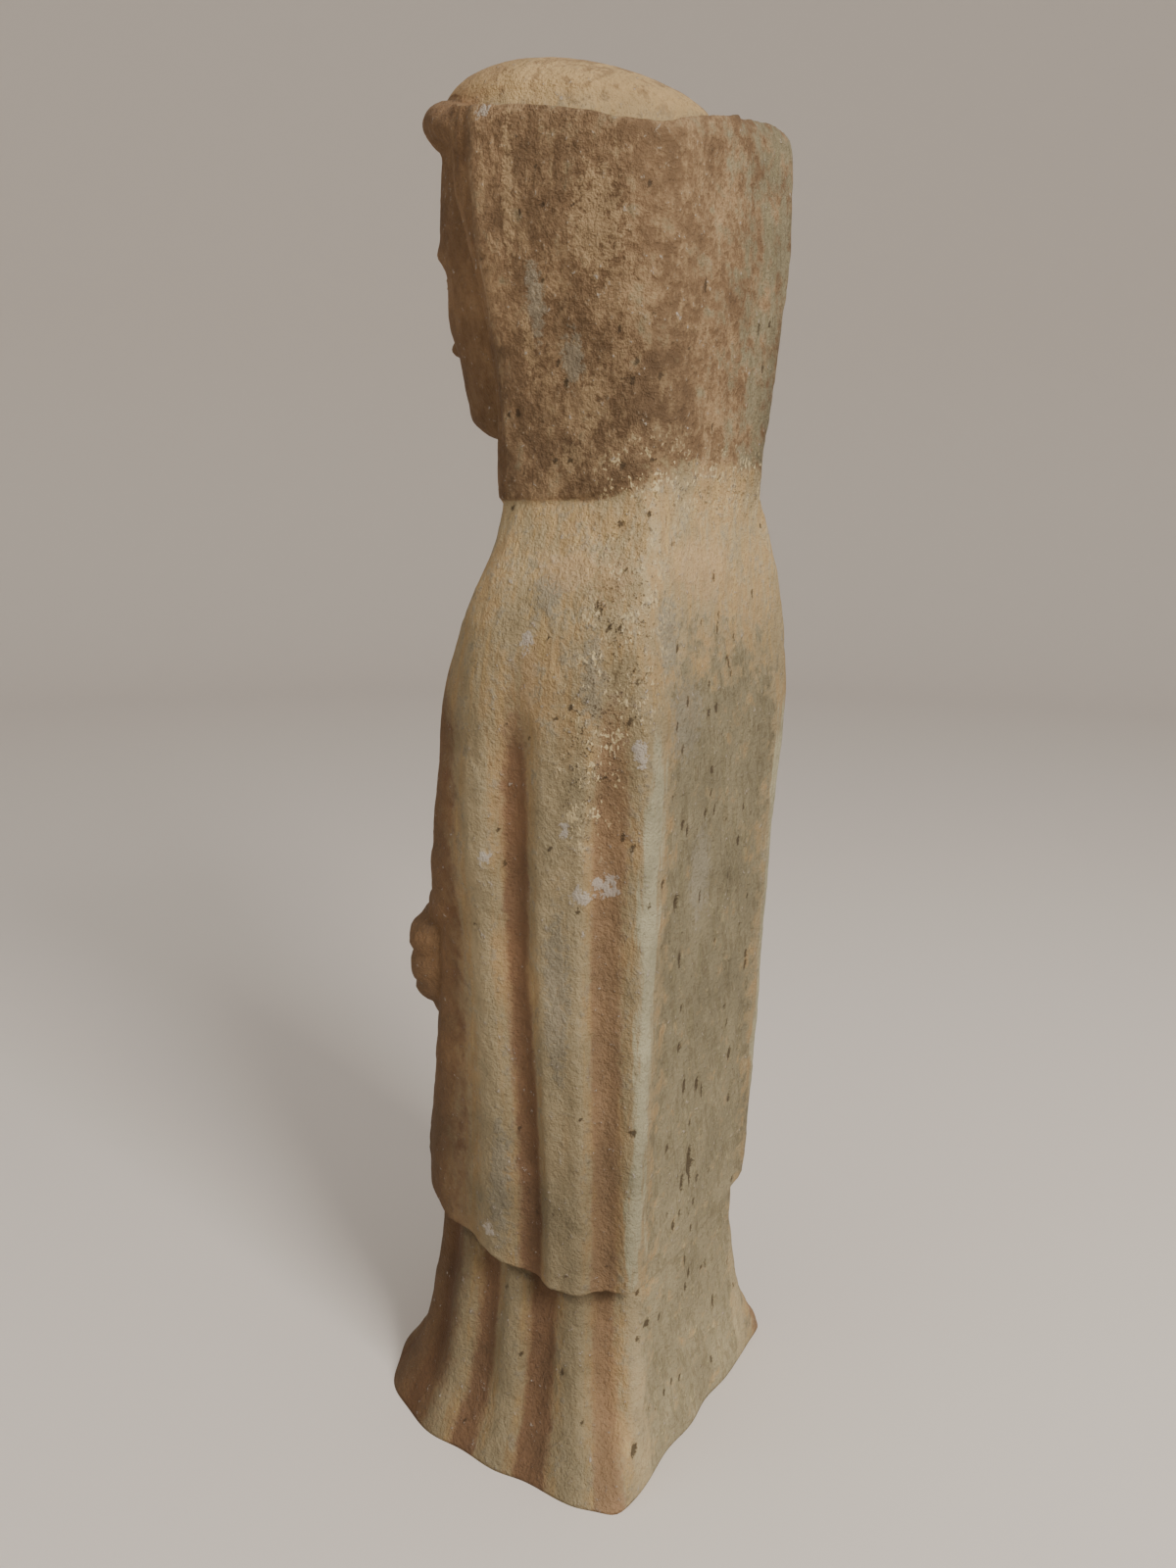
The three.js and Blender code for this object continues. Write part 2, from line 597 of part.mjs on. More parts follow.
function statue() {
  const mesh = new THREE.Mesh(statueGeometry(), new THREE.MeshStandardMaterial(STONE));
  mesh.name = "statue";
  mesh.geometry.computeVertexNormals();
  return mesh;
}

const figure = new THREE.Group();
figure.add(statue());

export default figure;
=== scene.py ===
"""The looks of a standing stone saint: one worn block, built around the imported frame.

The fine surface uses the same sizes and functions as the solid, on a closer grid. Sizes are
millimetres and angles are degrees around the upright centre line (0 front, 90 the figure's
left, 180 the back) until the mesh is made, which is in metres.
"""

import math
import bpy
import numpy as np
from mathutils import Matrix, Vector


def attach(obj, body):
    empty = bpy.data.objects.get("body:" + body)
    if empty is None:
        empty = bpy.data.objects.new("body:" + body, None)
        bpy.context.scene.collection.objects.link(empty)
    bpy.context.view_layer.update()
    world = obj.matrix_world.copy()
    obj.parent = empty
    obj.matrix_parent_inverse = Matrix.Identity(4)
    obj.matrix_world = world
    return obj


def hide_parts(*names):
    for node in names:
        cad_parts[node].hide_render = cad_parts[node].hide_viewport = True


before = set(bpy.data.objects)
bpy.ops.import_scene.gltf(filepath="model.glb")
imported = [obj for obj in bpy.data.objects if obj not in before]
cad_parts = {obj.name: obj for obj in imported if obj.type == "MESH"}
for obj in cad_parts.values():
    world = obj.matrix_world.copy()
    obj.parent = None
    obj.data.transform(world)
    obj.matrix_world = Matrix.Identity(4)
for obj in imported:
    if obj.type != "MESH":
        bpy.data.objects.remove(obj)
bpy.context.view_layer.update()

MM = 0.001
NODE = "statue"

# Camera, in millimetres from the middle of the foot
IMAGE_HEIGHT = 1600
FOCAL_PIXELS = 1216
SENSOR = 36.0
CAMERA_AT = (392.9, 256.0, 367.8)
CAMERA_AZIMUTH = 122.2
CAMERA_PITCH = 12.4
CAMERA_ROLL = 0.35

# Driving dimensions
SKULL_TOP = 527.4
CHIN = 400
NAPE = 375
BAND_TOP = 501
BAND_HEIGHT = 15
BAND_PROUD = 3.2
HAIR_PROUD = 1.6
CLOTH_EDGE = 5
NECKLINE = 352
FACE_HEIGHT = BAND_TOP - BAND_HEIGHT - CHIN
OVAL_POWER = 2.8
CORNER_POWER = 30
HEAD_CORNER_POWER = 5
FAR_CORNER_POWER = 10

# Centre line: height, x, y
CENTRE_LINE = (
    (0, -2, 5), (80, -3, 6), (160, -5, 8), (250, -8, 8.5), (300, -8, 10),
    (345, -6, 14), (380, -3, 18), (410, -3, 17.5), (460, -3, 15), (530, -3, 14),
)

# Sections: height, half width, reach to the front and to the flat back, half width of that flat
TUNIC = (
    (0, 72, 71.5, 64.5, 67), (9, 68.5, 65, 64, 63.5), (20, 63, 59, 62, 57), (35, 59, 54, 60, 47),
    (50, 57, 51, 59.5, 41), (70, 54, 48, 59.5, 36), (110, 52, 46, 60.5, 36),
)
MANTLE = (
    (75, 61, 49, 60.5, 44), (105, 62, 53, 60.5, 48), (140, 61.5, 50.5, 61, 50.5),
    (200, 62.5, 46, 62, 52), (250, 64.5, 46.5, 63, 54), (300, 67, 39.5, 65, 60),
    (325, 64.5, 32, 63.5, 59.5), (345, 58.5, 23.5, 62.5, 55), (360, 52, 17, 61.5, 49),
    (380, 45, 15, 60, 42),
)
HAIR = (
    (360, 46, 13, 61, 44), (388, 47, 13, 63, 44.5), (405, 49, 13, 64.5, 46.5),
    (420, 51, 13, 65.5, 48.5), (440, 54.5, 15, 66.5, 52), (460, 57, 20, 67, 55),
    (480, 58, 26, 67, 56.5), (510, 58, 28, 67, 56.5),
)
BAND = (53, 50, 40, 30)
FACE = (
    (CHIN - 14, 25, 19), (CHIN - 5, 25, 23), (CHIN + 1, 26, 38), (CHIN + 8, 30, 43),
    (CHIN + 20, 35, 45), (CHIN + 40, 39.5, 48.5), (CHIN + 62, 43, 52.5), (CHIN + 75, 44, 52.5),
    (CHIN + 95, 44, 51),
)

# Fold crests and troughs: angle high on the cloth, angle at its hem, height
MANTLE_FOLDS = (
    (-180, -180, 0), (-147, -146, 0), (-138, -138, 1.2), (-124, -127, -2.4), (-110, -114, 1.8),
    (-99, -98, -2.2), (-80, -84, 1.8), (-66, -70, -1.6), (-54, -56, 1.2), (-44, -45, -0.6),
    (42, 44, 0), (53, 56, 0.6), (65, 70, -1.4), (82, 89, 2.2), (93, 104, -3.2),
    (105, 111, 1.9), (111, 115, 1.5), (116, 119, 2), (123.5, 128.5, -3.2), (136, 137, 1.8),
    (148, 147, 0), (180, 180, 0),
)
TUNIC_FOLDS = (
    (-180, -180, 0), (-150, -153, 0), (-140, -144, 1.4), (-128, -130, -2.4),
    (-117, -119, 1.8), (-106, -107, -2.6), (-95, -96, 1.9), (-83, -84, -2.2),
    (-72, -73, 1.8), (-58, -60, -2.2), (-46, -48, 2), (-34, -36, -2.2), (-24, -25, 2.2),
    (-14, -13, -2.4), (-3, -2, 2.4), (8, 9, -2.4), (18, 21, 2.2), (29, 33, -2.2),
    (41, 44, 2), (53, 55, -2), (65, 68, 1.8), (78, 80, -2.4), (92, 94, 1.9),
    (105, 106, -3), (120, 120.5, 2), (129, 129.5, -2.2), (139, 141, 1.4), (150, 154, 0),
    (180, 180, 0),
)

# Lower edge of the mantle: angle, height
MANTLE_HEM = (
    (-180, 79), (-140, 86), (-110, 82), (-80, 84), (-55, 90), (-34, 88), (0, 92), (34, 112),
    (45, 104), (50, 97), (58, 95), (63, 90), (77, 90), (90, 85), (101, 81), (128, 79),
    (140, 82), (180, 79),
)

# Front edges of the mantle: height, right angle, left angle
MANTLE_OPENING = (
    (60, -36, 38), (110, -34, 36), (160, -33, 31), (205, -33, 26), (250, -34, 27),
    (300, -33, 31), (340, -27, 27), (362, -16, 16), (378, -4, 4),
)


# Upper edge of the head block and its band: angle, height
RIM = (
    (-180, 501), (-171, 502.5), (-162, 504), (-153, 505.5), (-140, 506.5), (-120, 507),
    (-90, 509), (-60, 512), (-37, 513.5), (0, 514.5), (37, 512.5), (44, 510), (50, 507.5),
    (62, 503), (75, 499.7), (94, 497.4), (107, 494.2), (120, 490.3), (127, 488.6),
    (133, 488.2), (140, 489.8), (153, 494.3), (168, 498.2), (180, 501),
)


def rise(start, end, value):
    t = np.clip((value - start) / (end - start), 0, 1)
    return t * t * (3 - 2 * t)


def hump(value, centre, width):
    return np.exp(-(((value - centre) / width) ** 2))


def soft_max(a, b, soft):
    t = np.clip(0.5 + (a - b) / (2 * soft), 0, 1)
    return b + (a - b) * t + soft * t * (1 - t)


def along(stations, z, column):
    """A smooth curve through the stations, without overshoot at the ends."""
    heights = np.array([s[0] for s in stations], float)
    values = np.array([s[column] for s in stations], float)
    last = len(heights) - 1
    i = np.clip(np.searchsorted(heights, z, side="left") - 1, 0, last - 1)
    before = np.maximum(i - 1, 0)
    after = np.minimum(i + 2, last)
    start = (values[i + 1] - values[before]) / (heights[i + 1] - heights[before])
    end = (values[after] - values[i]) / (heights[after] - heights[i])
    length = heights[i + 1] - heights[i]
    t = np.clip((z - heights[i]) / length, 0, 1)
    return (
        (2 * t**3 - 3 * t**2 + 1) * values[i]
        + (t**3 - 2 * t**2 + t) * length * start
        + (3 * t**2 - 2 * t**3) * values[i + 1]
        + (t**3 - t**2) * length * end
    )


def between(points, at, column=1):
    return np.interp(at, [p[0] for p in points], [p[column] for p in points])


def section_radius(size, angle, centre_y, front_power=OVAL_POWER, corner=CORNER_POWER):
    """Distance from the centre line to a section: an oval cut by the flat back."""
    half, front, back, flat = size
    side = np.abs(np.sin(np.radians(angle)))
    ahead = np.cos(np.radians(angle))

    def oval(across, deep, power):
        return ((side / across) ** power + (np.abs(ahead) / deep) ** power) ** (-1 / power)

    before = oval(half, front + centre_y, front_power)
    depth = back - centre_y
    cut = np.minimum(flat / half, 0.985) ** OVAL_POWER
    behind = oval(half, depth / (1 - cut) ** (1 / OVAL_POWER), OVAL_POWER)
    plane = depth / np.maximum(-ahead, 1e-3)
    behind = (behind**-corner + plane**-corner) ** (-1 / corner)
    return np.where(ahead >= 0, before, behind)


def size_at(stations, z):
    return tuple(along(stations, z, column) for column in (1, 2, 3, 4))


def fold_height(folds, angle, drop):
    """Rounded crests and troughs, moving from their high to their low angles."""
    height = np.zeros_like(angle)
    for a, b in zip(folds[:-1], folds[1:]):
        start = a[0] + (a[1] - a[0]) * drop
        end = b[0] + (b[1] - b[0]) * drop
        inside = (angle >= start) & (angle < end)
        wave = 0.5 - 0.5 * np.cos(np.pi * np.clip((angle - start) / (end - start), 0, 1))
        height = np.where(inside, a[2] + (b[2] - a[2]) * wave, height)
    return height


def limb(around, z, a, b):
    """A raised limb from a to b, each (around, height, half width, raised by)."""
    du = b[0] - a[0]
    dz = b[1] - a[1]
    t = np.clip(((around - a[0]) * du + (z - a[1]) * dz) / (du * du + dz * dz), 0, 1)
    wide = a[2] + (b[2] - a[2]) * t
    off = np.hypot(around - a[0] - du * t, z - a[1] - dz * t) / wide
    return (a[3] + (b[3] - a[3]) * t) * np.sqrt(np.clip(1 - off * off, 0, 1))


def raised(limbs, around, z):
    most = np.zeros_like(z)
    for a, b in limbs:
        high = limb(around, z, a, b)
        both = (most > 0) & (high > 0)
        most = np.where(both, soft_max(most, high, 0.8), np.maximum(most, high))
    return most


# The face, calm and regular, on plain proportions
EYE_X = 15
EYE_Z = CHIN + FACE_HEIGHT * 0.64
EYE_WIDE = 7.5
EYE_HIGH = 3.6
BROW_Z = CHIN + FACE_HEIGHT * 0.755
NOSE_TOP = CHIN + FACE_HEIGHT * 0.73
NOSE_TIP = CHIN + FACE_HEIGHT * 0.385
NOSE_LONG = 9.5
NOSE_WIDE = 7.5
MOUTH_Z = CHIN + FACE_HEIGHT * 0.235
MOUTH_WIDE = 12


def face_relief(x, z):
    side = np.abs(x)
    h = -3.4 * hump(side, EYE_X, 9.5) * hump(z, EYE_Z + 0.5, 6.5)
    brow = hump(z, BROW_Z - 0.012 * (side - 14) ** 2, 3.6)
    h += 1.8 * brow * (1 - rise(24, 34, side))
    eye = 1 - ((side - EYE_X) / EYE_WIDE) ** 2 - ((z - EYE_Z) / EYE_HIGH) ** 2
    h += 3.1 * np.sqrt(np.clip(eye, 0, 1))
    lids = 1 - rise(EYE_WIDE - 2, EYE_WIDE, np.abs(side - EYE_X))
    h -= 0.7 * hump(z, EYE_Z - 0.2, 0.9) * lids
    down = np.clip((NOSE_TOP - z) / (NOSE_TOP - NOSE_TIP), 0, 1)
    bridge = 2.6 + (NOSE_WIDE - 2.6) * down**2
    ridge = (1.2 + (NOSE_LONG - 1.2) * down**1.15) * (1 - rise(NOSE_TOP, NOSE_TOP + 8, z))
    h += ridge * rise(NOSE_TIP - 6, NOSE_TIP - 0.5, z) * np.exp(-((side / bridge) ** 2.4))
    h += 2.2 * hump(side, 6.2, 2.6) * hump(z, NOSE_TIP + 1.5, 3.6)
    h += 2.2 * hump(z, MOUTH_Z, 7) * hump(side, 0, 13)
    h += 1.5 * hump(z, MOUTH_Z + 2.6, 1.8) * (1 - rise(MOUTH_WIDE * 0.5, MOUTH_WIDE, side))
    h += 1.7 * hump(z, MOUTH_Z - 2.9, 2.1) * (1 - rise(MOUTH_WIDE * 0.4, MOUTH_WIDE * 0.85, side))
    h -= 1.9 * hump(z, MOUTH_Z, 1.1) * (1 - rise(MOUTH_WIDE * 0.8, MOUTH_WIDE * 1.15, side))
    h -= 1.3 * hump(z, MOUTH_Z - 7.5, 2.6) * hump(side, 0, 9)
    h += 2.8 * hump(z, CHIN + 7.5, 6) * hump(side, 0, 11)
    h += 1.4 * hump(side, 22, 9) * hump(z, NOSE_TIP + 6, 11)
    return h


# Locks of the long hair beside the face, grooved straight down
LOCK_WIDTH = 5
LOCK_DEPTH = 0.7
LOCK_EDGE = 72


def hair_relief(angle, z):
    side = np.abs(angle)
    edge = LOCK_EDGE - 3 * rise(460, 400, z)
    beside = (1 - rise(edge - 3, edge + 1, side)) * rise(NAPE + 6, NAPE + 30, z)
    wander = 0.35 * np.sin(z / 13)
    lock = np.abs(np.cos(np.pi * (side - edge + wander) / LOCK_WIDTH)) ** 3
    strand = np.abs(np.cos(np.pi * (side - edge + 1.6 * wander) * 3 / LOCK_WIDTH))
    return -beside * (1.1 + LOCK_DEPTH * lock + 0.22 * strand)


def rim_height(angle):
    return between(RIM, angle)


# Right forearm across the breast with its sleeve, and the flat hand
RIGHT_ARM = [
    ((-72, 262, 17, 3), (-58, 244, 15, 8)),
    ((-58, 244, 14, 9), (-22, 266, 11.5, 11.5)),
    ((-30, 258, 9, 9), (-27, 236, 4, 3)),
]
RIGHT_HAND = [
    ((-22, 266, 7.5, 11), (-7, 277, 8.5, 8.5)),
    ((-7, 279, 8.5, 8), (0, 284, 8, 7)),
    ((-6, 284, 3.2, 8), (-3, 297, 2.6, 6.5)),
]
FINGER_SPREAD = 4.7
for i, long in enumerate((15, 19, 18, 13)):
    across = (i - 1.5) * FINGER_SPREAD
    knuckle = (2 + across * -0.45, 284 + across * 0.75, 2.9, 7)
    tip = (knuckle[0] + long * 0.86, knuckle[1] + long * 0.5, 2.2, 5)
    RIGHT_HAND.append((knuckle, tip))

# Left forearm under the mantle, and the closed hand that gathers the cloth
LEFT_ARM = [
    ((62, 268, 17, 1.5), (60, 250, 17, 2.5)),
    ((60, 250, 15, 1.8), (40, 222, 12, 2.5)),
]
HAND_U = 31
HAND_LOW = 171
HAND_HIGH = 226
HAND_PROUD = 15
FINGERS = 4
FINGER_GROOVE = 1.5
FIST = [
    ((HAND_U + 3, 218, 11, 6), (HAND_U + 1, 203, 15, HAND_PROUD)),
    ((HAND_U + 1, 203, 15, HAND_PROUD), (HAND_U, 189, 15, HAND_PROUD - 1)),
    ((HAND_U, 189, 14, HAND_PROUD - 2), (HAND_U, 178, 9, 5)),
]


def fist_height(around, z):
    share = (HAND_HIGH - z) / (HAND_HIGH - HAND_LOW)
    groove = np.abs(np.cos(np.pi * np.clip(share, 0, 1) * FINGERS)) ** 6
    mass = raised(FIST, around, z)
    return mass - FINGER_GROOVE * groove * rise(1, 6, mass) * rise(HAND_U - 12, HAND_U - 4, around)


# Cloth falling from the closed hand in stacked zigzag edges, wider towards the hem
FALL_NARROW = 29
FALL_WIDE = 13
FALL_LEFT = 30
FALL_STEPS = 3
FALL_PROUD = 1.6
FALL_FOOT = 96


def falling_cloth(angle, z):
    share = np.clip((z - FALL_FOOT) / (HAND_LOW - FALL_FOOT), 0, 1)
    saw = (share * FALL_STEPS) % 1
    edge = FALL_WIDE + (FALL_NARROW - FALL_WIDE) * share + 5 * saw
    inside = rise(edge - 1.5, edge + 1.5, angle) * (1 - rise(FALL_LEFT, FALL_LEFT + 9, angle))
    pinch = 1 - rise(HAND_LOW - 4, HAND_LOW + 20, z)
    ripple = 1.1 * np.cos(2 * np.pi * (angle - edge) / 9)
    foot = rise(FALL_FOOT - 1.5, FALL_FOOT + 1.5, z)
    return (FALL_PROUD - 1.8 * saw + ripple) * inside * pinch * foot


def cloth_radius(angle, z, centre_y):
    hem = between(MANTLE_HEM, angle)
    drop = 1 - rise(80, 230, z)
    right = between(MANTLE_OPENING, z, 1)
    left = between(MANTLE_OPENING, z, 2)
    mantle_base = section_radius(size_at(MANTLE, z), angle, centre_y)
    tunic_base = section_radius(size_at(TUNIC, z), angle, centre_y)
    inside = rise(right - 1.5, right + 1.5, angle) * (1 - rise(left - 1.5, left + 1.5, angle))
    tunic_folds = fold_height(TUNIC_FOLDS, angle, 1 - rise(0, 90, z)) * (0.35 + 0.65 * rise(0, 34, z))
    chest = rise(236, 262, z)
    girdle = hump(z, 250, 3.4) * 2.4
    collar = 1.3 * hump(z, NECKLINE + 0.016 * (angle * 0.8) ** 2, 2)
    under = mantle_base - CLOTH_EDGE * 1.1
    inner = (
        under + (tunic_base - under) * (1 - rise(84, 130, z))
        + tunic_folds * (1 - 0.75 * chest) + (girdle + collar) * inside
    )
    fade = 1 - rise(262, 345, z)
    rolled = hump(angle, left + 3, 2.4) + hump(angle, right - 3, 2.4)
    outer = mantle_base + fold_height(MANTLE_FOLDS, angle, drop) * fade + 0.9 * rolled * (1 - inside)
    on_mantle = rise(hem - 1.2, hem + 1.2, z) * (1 - inside)
    around = np.radians(angle) * 50
    r = inner + (outer - inner) * on_mantle
    r += falling_cloth(angle, z) + raised(LEFT_ARM, around, z)
    fist = fist_height(around, z)
    r = np.where(fist > 0, soft_max(r, mantle_base - 1 + fist, 0.6), r)
    return r + np.maximum(raised(RIGHT_ARM, around, z), raised(RIGHT_HAND, around, z))


def head_radius(angle, z, centre_y, rim):
    corner = HEAD_CORNER_POWER + (FAR_CORNER_POWER - HEAD_CORNER_POWER) * rise(-110, -160, angle)
    corner = np.where(angle < 0, corner, HEAD_CORNER_POWER)
    hair = section_radius(size_at(HAIR, z), angle, centre_y, 4, corner)
    side = np.abs(angle)
    proud = HAIR_PROUD * rise(62, 90, side) * (1 - rise(128, 145, side))
    hair = hair + hair_relief(angle, z) + proud * (1 - rise(NAPE + 4, NAPE + 26, z))
    size = (along(FACE, z, 1), along(FACE, z, 2), 60.0, 20.0)
    bare = section_radius(size, angle, centre_y, 2.3)
    x = bare * np.sin(np.radians(angle))
    face = bare + face_relief(x, z) * rise(CHIN - 6, CHIN + 4, z)
    r = soft_max(hair, face, 0.8)
    roll = 1 - ((z - (rim - BAND_HEIGHT / 2)) / (BAND_HEIGHT / 2)) ** 2
    band = section_radius(BAND, angle, centre_y, 2.4)
    fade = 1 - rise(66, 100, np.abs(angle))
    band = band - 9 * (1 - np.sqrt(np.clip(roll, 0, 1))) + BAND_PROUD * fade - 12 * (1 - fade)
    banded = np.where(roll > -1, soft_max(r, band, 0.6), r)
    return np.where(np.abs(angle) < 90, banded, hair)


def foot_wear(angle, z):
    back = rise(118, 132, np.abs(angle))
    return back * (1 - rise(2, 14, z)) * 0.8 * np.sin(np.radians(angle) * 11)


def radius(angle, z, rim):
    centre_y = along(CENTRE_LINE, z, 2)
    side = np.abs(angle)
    nape = NAPE + 2 * hump(side, 125, 20) - 3 * rise(140, 165, side)
    cloth = cloth_radius(angle, z, centre_y)
    head = head_radius(angle, z, centre_y, rim)
    soft = 0.8 + 9 * rise(122, 145, side)
    up = rise(nape - soft, nape + soft, z) * rise(38, 46, side)
    throat = soft_max(cloth, head, 1.5)
    body = np.where((side < 46) & (z > NAPE - 30), throat, cloth)
    sides = body + (head - body) * up
    return np.where(z > NAPE + 14, head, sides) + foot_wear(angle, z)


# Skull inside the rim, a low oval dome that peaks towards the front
DOME_X = -6
DOME_Y = -2
DOME_HALF = 45.6
DOME_DEEP = 51
DOME_HIGH = 21.6
DOME_LEAN = 0.16


def top_height(x, y, rim):
    inside = 1 - ((x - DOME_X) / DOME_HALF) ** 2 - ((y - DOME_Y) / DOME_DEEP) ** 2
    safe = np.clip(inside, 0, 1)
    dome = SKULL_TOP - DOME_HIGH + DOME_HIGH * np.sqrt(safe) - DOME_LEAN * (y - DOME_Y) * safe**0.3
    return np.where(inside > 0, soft_max(rim, dome, 2.5), rim)


def dome_reach(x, y, angle):
    dx = np.sin(np.radians(angle)) / DOME_HALF
    dy = -np.cos(np.radians(angle)) / DOME_DEEP
    px = (x - DOME_X) / DOME_HALF
    py = (y - DOME_Y) / DOME_DEEP
    a = dx * dx + dy * dy
    b = px * dx + py * dy
    return (-b + np.sqrt(b * b - a * (px * px + py * py - 1))) / a


# Grid lines: (from, to, step)
def ranges(*parts):
    return np.concatenate([np.arange(start, end - 1e-6, step) for start, end, step in parts])


ANGLES = ranges(
    (-180, -150, 1.5), (-150, -50, 1.45), (-50, -26, 1.25), (-26, 26, 1.0),
    (26, 50, 1.25), (50, 150, 1.3), (150, 180, 1.5),
)
HEIGHTS = np.append(ranges(
    (0, 6, 1.2), (6, 76, 1.9), (76, 92, 1.0), (92, 170, 2.0), (170, 228, 1.45),
    (228, 302, 1.7), (302, 368, 2.1), (368, 380, 1.0), (380, 394, 1.6), (394, 404, 1.0),
    (404, 486, 1.3), (486, 502, 1.1),
), 502.0)
RIM_RINGS = np.linspace(0, 1, 8)[1:-1]
DOME_RINGS = np.cos(np.linspace(0.12, math.pi / 2, 30))[:-1]


def level_at(angle, z, rim):
    """A grid height moved so that the rows follow the mantle's hem and the head's rim."""
    hem = between(MANTLE_HEM, angle)
    near_hem = np.where(z < 84, rise(40, 84, z), 1 - rise(84, 130, z))
    return z + (hem - 84) * near_hem + (rim - 502) * rise(440, 502, z)


# Seeded noise on a lattice, the same each run
def lattice(ix, iy, iz, seed):
    n = (ix * 374761393 + iy * 668265263 + iz * 1274126177 + seed * 974634777).astype(np.uint64)
    n = (n ^ (n >> np.uint64(13))) * np.uint64(1274126177)
    n = (n ^ (n >> np.uint64(16))) & np.uint64(0xFFFFFF)
    return n.astype(float) / float(0xFFFFFF) * 2 - 1


def noise(points, size, seed):
    """Smooth noise from -1 to 1 whose lumps are about size across, one size or three."""
    scaled = points / np.asarray(size, float)
    whole = np.floor(scaled).astype(np.int64)
    t = scaled - whole
    t = t * t * (3 - 2 * t)
    total = np.zeros(len(points))
    for corner in range(8):
        step = np.array([corner & 1, (corner >> 1) & 1, (corner >> 2) & 1])
        weight = np.prod(np.where(step, t, 1 - t), axis=1)
        cell = whole + step
        total += weight * lattice(cell[:, 0], cell[:, 1], cell[:, 2], seed)
    return total


def rough(points, size, seed, octaves=3):
    total = np.zeros(len(points))
    for k in range(octaves):
        total += noise(points, np.asarray(size, float) / 2**k, seed + 7 * k) * 0.5**k
    return total


def statue_points():
    """Grid of points of the carved figure, with the angle and the row of each."""
    angle = np.tile(ANGLES, (len(HEIGHTS), 1))
    level = np.tile(HEIGHTS[:, None], (1, len(ANGLES)))
    rim = rim_height(angle)
    z = level_at(angle, level, rim)
    worn = np.clip((level - 494) / 8, 0, 1)
    soft = 2.2 + 3 * rise(100, 150, -angle)
    r = radius(angle, z, rim) - soft * (1 - np.sqrt(1 - 0.96 * worn**2))
    cx = along(CENTRE_LINE, z, 1)
    cy = along(CENTRE_LINE, z, 2)
    x = cx + r * np.sin(np.radians(angle))
    y = cy - r * np.cos(np.radians(angle))
    crown_x = along(CENTRE_LINE, 502.0, 1)
    crown_y = along(CENTRE_LINE, 502.0, 2)
    rim_reach = np.hypot(x[-1] - crown_x, y[-1] - crown_y)
    foot = np.minimum(dome_reach(crown_x, crown_y, ANGLES), rim_reach - 2)
    reaches = [rim_reach + (foot - rim_reach) * share for share in RIM_RINGS]
    reaches += [foot * share for share in DOME_RINGS]
    top_x = [crown_x + reach * np.sin(np.radians(ANGLES)) for reach in reaches]
    top_y = [crown_y - reach * np.cos(np.radians(ANGLES)) for reach in reaches]
    top_z = [top_height(tx, ty, rim[0]) for tx, ty in zip(top_x, top_y)]
    x = np.vstack([x, top_x])
    y = np.vstack([y, top_y])
    z = np.vstack([z, top_z])
    angle = np.tile(ANGLES, (len(x), 1))
    row = np.tile(np.arange(len(x))[:, None], (1, len(ANGLES)))
    return x, y, z, angle, row


# Wear: pits as angle, height, half width, half length, depth
PITS = (
    (134, 150, 1.7, 1.9, 1.4), (150, 232, 1.6, 4.2, 1.3), (154, 209, 0.9, 5.5, 0.9),
    (168, 262, 1.2, 2.2, 1.0), (172, 118, 1.7, 9.5, 1.9), (166, 112, 1.5, 5.0, 1.5),
    (160, 96, 1.2, 3.4, 1.1), (175, 150, 1.1, 4.0, 0.9), (158, 172, 1.0, 3.0, 0.9),
    (146, 62, 2.2, 1.7, 1.0), (139, 17, 2.4, 3.0, 2.0), (102, 413, 0.9, 1.8, 1.0),
    (123, 428, 0.8, 1.2, 0.8), (78, 404, 0.8, 1.6, 0.8), (118, 341, 0.8, 2.0, 0.9),
)
# Scuffed or stained places as angle, height, half width, half length
SCUFFS = (
    (77, 497, 3.4, 2.8), (86, 98, 3.2, 3.2), (117, 239, 4.5, 3.4), (124.5, 243, 5.0, 5.0),
    (84, 248, 2.6, 3.0), (131, 292, 3.0, 6.0), (112, 262, 2.0, 5.0), (96, 328, 3.0, 5.0),
)
PALE_PATCHES = (
    (117, 460, 10, 19), (104, 389, 6, 6), (108, 352, 13, 8), (122, 349, 8, 12), (98, 315, 4, 22),
    (160, 352, 22, 12), (86, 470, 2.6, 34), (88, 425, 2.6, 26), (112, 405, 4, 12),
)
GREY_PATCHES = (
    (101, 345, 7, 10), (118, 318, 5, 20), (110, 200, 6, 38), (150, 300, 14, 16), (166, 238, 9, 20),
    (93, 438, 4, 16), (106, 420, 5, 10), (140, 330, 8, 14), (90, 120, 5, 30),
)


def spot(points, centre, wide, tall):
    """1 at the middle of an upright oval spot, 0 from its edge outwards."""
    across = np.hypot(points[:, 0] - centre[0], points[:, 1] - centre[1]) / wide
    up = (points[:, 2] - centre[2]) / tall
    return np.clip(1 - across**2 - up**2, 0, 1)


def surface_at(angle, z):
    a = np.array([float(angle)])
    h = np.array([float(z)])
    r = radius(a, h, rim_height(a))
    x = along(CENTRE_LINE, h, 1) + r * np.sin(np.radians(a))
    y = along(CENTRE_LINE, h, 2) - r * np.cos(np.radians(a))
    return float(x[0]), float(y[0]), float(z)


def grid_normals(x, y, z):
    grid = np.stack([x, y, z], axis=-1)
    across = np.roll(grid, -1, axis=1) - np.roll(grid, 1, axis=1)
    up = np.gradient(grid, axis=0)
    normal = np.cross(across, up)
    return normal / np.maximum(np.linalg.norm(normal, axis=-1, keepdims=True), 1e-9)


